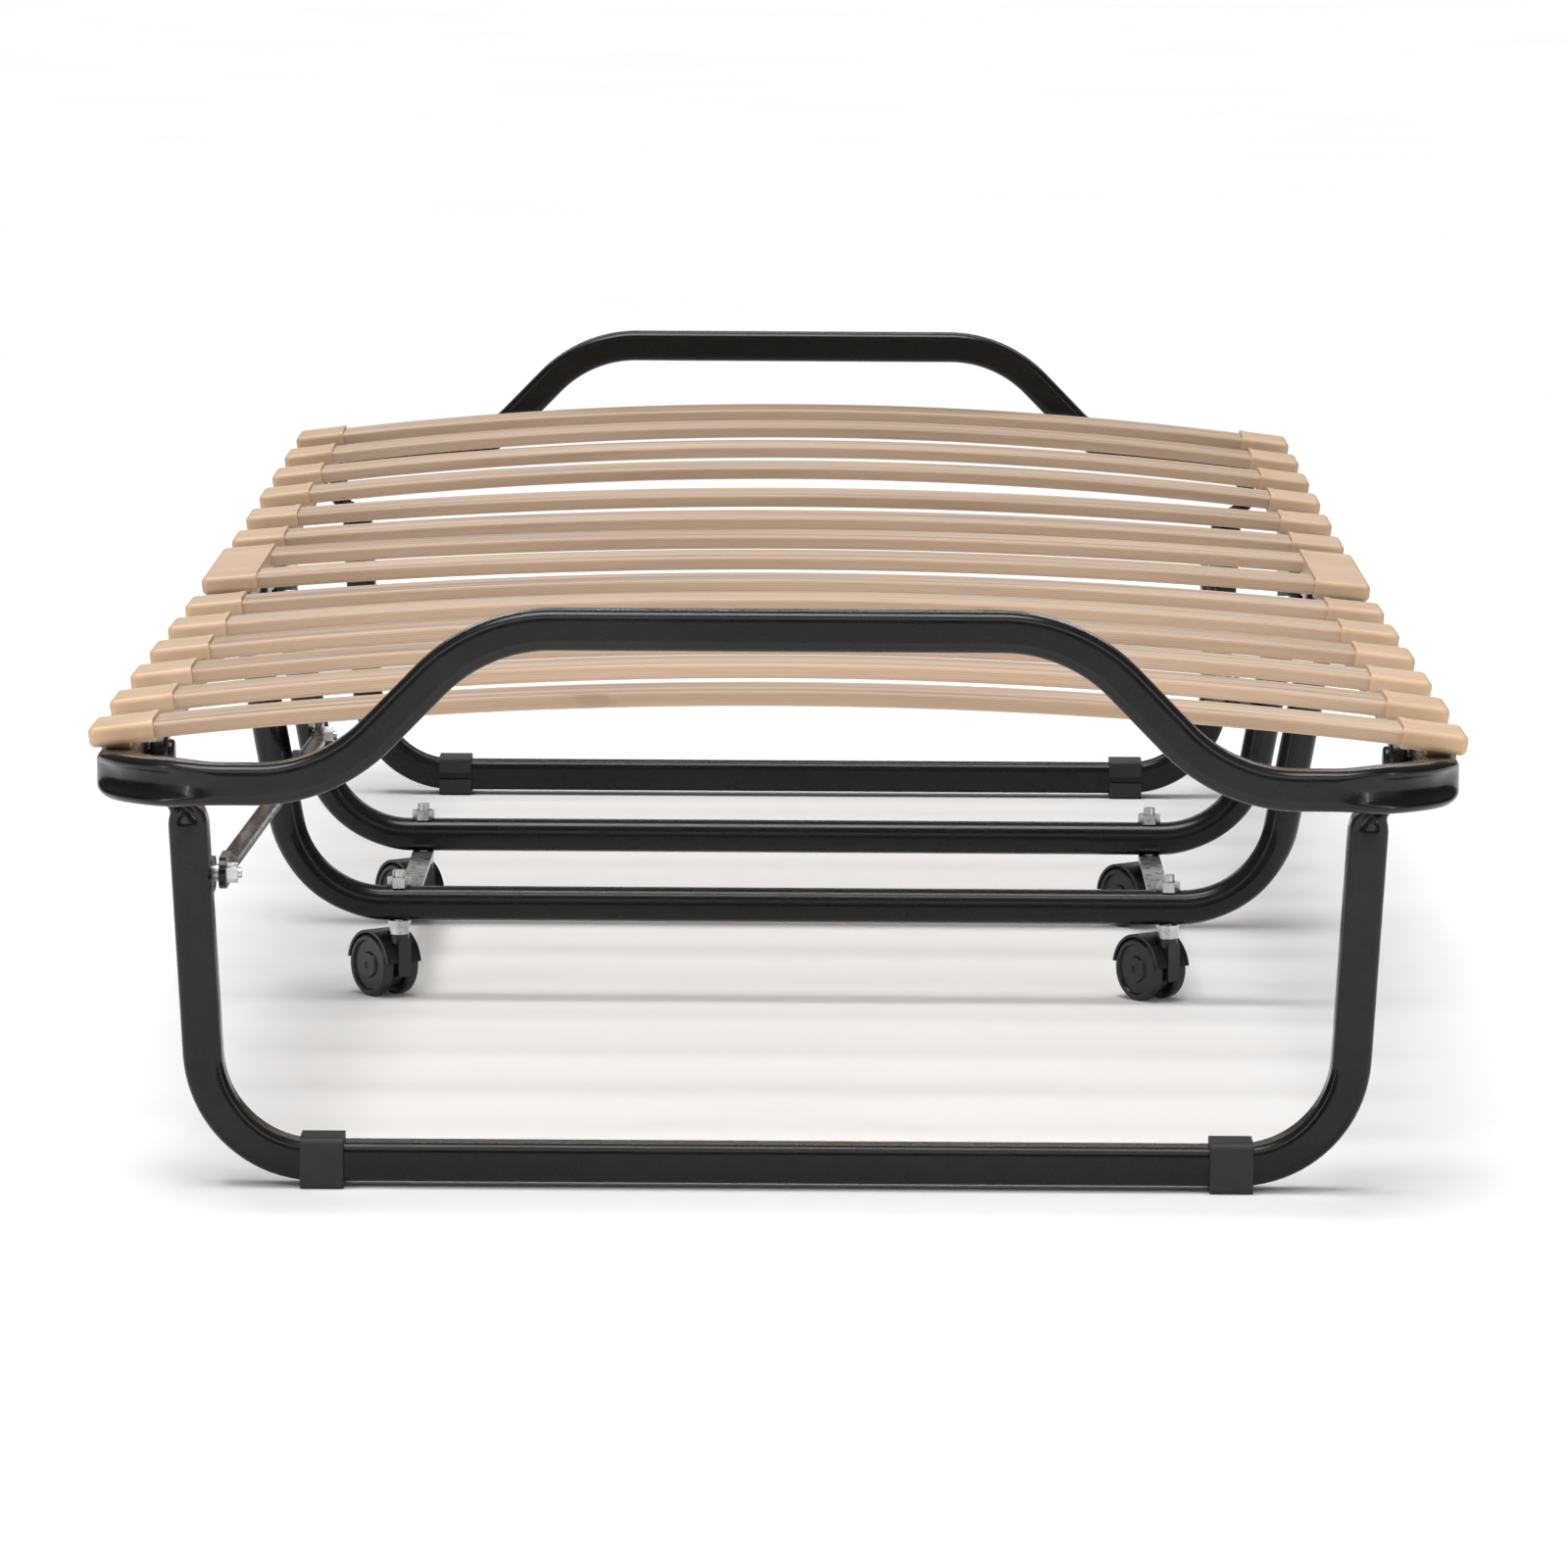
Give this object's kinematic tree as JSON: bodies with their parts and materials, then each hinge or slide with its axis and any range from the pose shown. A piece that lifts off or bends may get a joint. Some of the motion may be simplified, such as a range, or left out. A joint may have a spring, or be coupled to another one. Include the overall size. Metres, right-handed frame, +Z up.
{
  "type": "folding cot",
  "caption": "Three-section folding bed frame: sprung wooden slats in end caps on a bent steel tube frame with raised end loops, folding end legs and swivel castors.",
  "frame": {"origin": "on the floor under the middle of the bed", "axes": "+Y along the bed towards the far end, +X across it, +Z up"},
  "size_m": [0.7506, 1.903, 0.34],
  "materials": {
    "frame_paint": "glossy charcoal powder coat",
    "slat_wood": "clear satin lacquer on bent birch laminate",
    "cap_plastic": "tan moulded, satin",
    "clip_plastic": "matte black",
    "castor_plastic": "satin black nylon",
    "zinc": "bright zinc plate"
  },
  "bodies": {
    "centre": {"centre_rail_left": "frame_paint", "centre_rail_right": "frame_paint", "hinge_plates": "frame_paint", "hinge_rivets": "zinc", "pivot_bolts": "zinc", "mid_frame_near": "frame_paint", "mid_frame_far": "frame_paint", "tie_straps": "zinc", "slat_07": "slat_wood", "slat_08": "slat_wood", "centre_slat_caps": "cap_plastic", "castor_stems": "zinc", "castor_nuts": "zinc", "link_brackets": "frame_paint"},
    "near_section": {"near_end_frame": "frame_paint", "near_rail_eyes": "frame_paint", "near_slat_caps": "cap_plastic", "near_leg_bolts": "frame_paint", "slat_09": "slat_wood", "slat_10": "slat_wood", "slat_11": "slat_wood", "slat_12": "slat_wood", "slat_13": "slat_wood", "slat_14": "slat_wood"},
    "near_leg": {"near_leg_frame": "frame_paint", "near_leg_clips": "clip_plastic", "near_link_tab": "frame_paint", "near_link_pin": "zinc"},
    "near_link": {"near_link_rod": "frame_paint"},
    "far_section": {"far_end_frame": "frame_paint", "far_rail_eyes": "frame_paint", "far_slat_caps": "cap_plastic", "far_leg_bolts": "frame_paint", "slat_01": "slat_wood", "slat_02": "slat_wood", "slat_03": "slat_wood", "slat_04": "slat_wood", "slat_05": "slat_wood", "slat_06": "slat_wood", "far_loop_screw": "zinc"},
    "far_leg": {"far_leg_frame": "frame_paint", "far_leg_clips": "clip_plastic", "far_link_tab": "frame_paint", "far_link_pin": "zinc"},
    "far_link": {"far_link_rod": "frame_paint"},
    "castor_near_left_fork": {"castor_hood_near_left": "castor_plastic"},
    "castor_near_left_wheels": {"castor_wheels_near_left": "castor_plastic", "castor_axle_near_left": "zinc"},
    "castor_near_right_fork": {"castor_hood_near_right": "castor_plastic"},
    "castor_near_right_wheels": {"castor_wheels_near_right": "castor_plastic", "castor_axle_near_right": "zinc"},
    "castor_far_left_fork": {"castor_hood_far_left": "castor_plastic"},
    "castor_far_left_wheels": {"castor_wheels_far_left": "castor_plastic", "castor_axle_far_left": "zinc"},
    "castor_far_right_fork": {"castor_hood_far_right": "castor_plastic"},
    "castor_far_right_wheels": {"castor_wheels_far_right": "castor_plastic", "castor_axle_far_right": "zinc"}
  },
  "joints": [
    {"name": "near_fold", "type": "hinge", "parent": "centre", "child": "near_section", "pos_m": [0, -0.1545, 0.2355], "axis": [-1, 0, 0], "range_deg": [0, 80]},
    {"name": "near_leg_turn", "type": "hinge", "parent": "near_section", "child": "near_leg", "pos_m": [0, -0.80296, 0.24286], "axis": [-1, 0, 0], "range_deg": [-80, 0]},
    {"name": "near_link_turn", "type": "hinge", "parent": "centre", "child": "near_link", "pos_m": [-0.296, -0.1345, 0.1655], "axis": [-1, 0, 0], "range_deg": [0, 80]},
    {"name": "far_fold", "type": "hinge", "parent": "centre", "child": "far_section", "pos_m": [0, 0.1545, 0.2355], "axis": [1, 0, 0], "range_deg": [0, 80]},
    {"name": "far_leg_turn", "type": "hinge", "parent": "far_section", "child": "far_leg", "pos_m": [0, 0.80296, 0.24286], "axis": [1, 0, 0], "range_deg": [-80, 0]},
    {"name": "far_link_turn", "type": "hinge", "parent": "centre", "child": "far_link", "pos_m": [0.296, 0.1345, 0.1655], "axis": [1, 0, 0], "range_deg": [0, 80]},
    {"name": "castor_near_left_swivel", "type": "hinge", "parent": "centre", "child": "castor_near_left_fork", "pos_m": [-0.245, -0.1545, 0.03], "axis": [0, 0, 1], "continuous": true},
    {"name": "castor_near_left_roll", "type": "hinge", "parent": "castor_near_left_fork", "child": "castor_near_left_wheels", "pos_m": [-0.2551, -0.14158, 0.02], "axis": [-0.788, -0.6157, 0], "continuous": true},
    {"name": "castor_near_right_swivel", "type": "hinge", "parent": "centre", "child": "castor_near_right_fork", "pos_m": [0.245, -0.1545, 0.03], "axis": [0, 0, 1], "continuous": true},
    {"name": "castor_near_right_roll", "type": "hinge", "parent": "castor_near_right_fork", "child": "castor_near_right_wheels", "pos_m": [0.2349, -0.14158, 0.02], "axis": [-0.788, -0.6157, 0], "continuous": true},
    {"name": "castor_far_left_swivel", "type": "hinge", "parent": "centre", "child": "castor_far_left_fork", "pos_m": [-0.245, 0.1545, 0.03], "axis": [0, 0, 1], "continuous": true},
    {"name": "castor_far_left_roll", "type": "hinge", "parent": "castor_far_left_fork", "child": "castor_far_left_wheels", "pos_m": [-0.2551, 0.16742, 0.02], "axis": [-0.788, -0.6157, 0], "continuous": true},
    {"name": "castor_far_right_swivel", "type": "hinge", "parent": "centre", "child": "castor_far_right_fork", "pos_m": [0.245, 0.1545, 0.03], "axis": [0, 0, 1], "continuous": true},
    {"name": "castor_far_right_roll", "type": "hinge", "parent": "castor_far_right_fork", "child": "castor_far_right_wheels", "pos_m": [0.2349, 0.16742, 0.02], "axis": [-0.788, -0.6157, 0], "continuous": true}
  ],
  "couplings": [
    {"joint": "near_leg_turn", "follows": "near_fold", "ratio": -1},
    {"joint": "near_link_turn", "follows": "near_fold", "ratio": 1},
    {"joint": "far_leg_turn", "follows": "far_fold", "ratio": -1},
    {"joint": "far_link_turn", "follows": "far_fold", "ratio": 1}
  ]
}
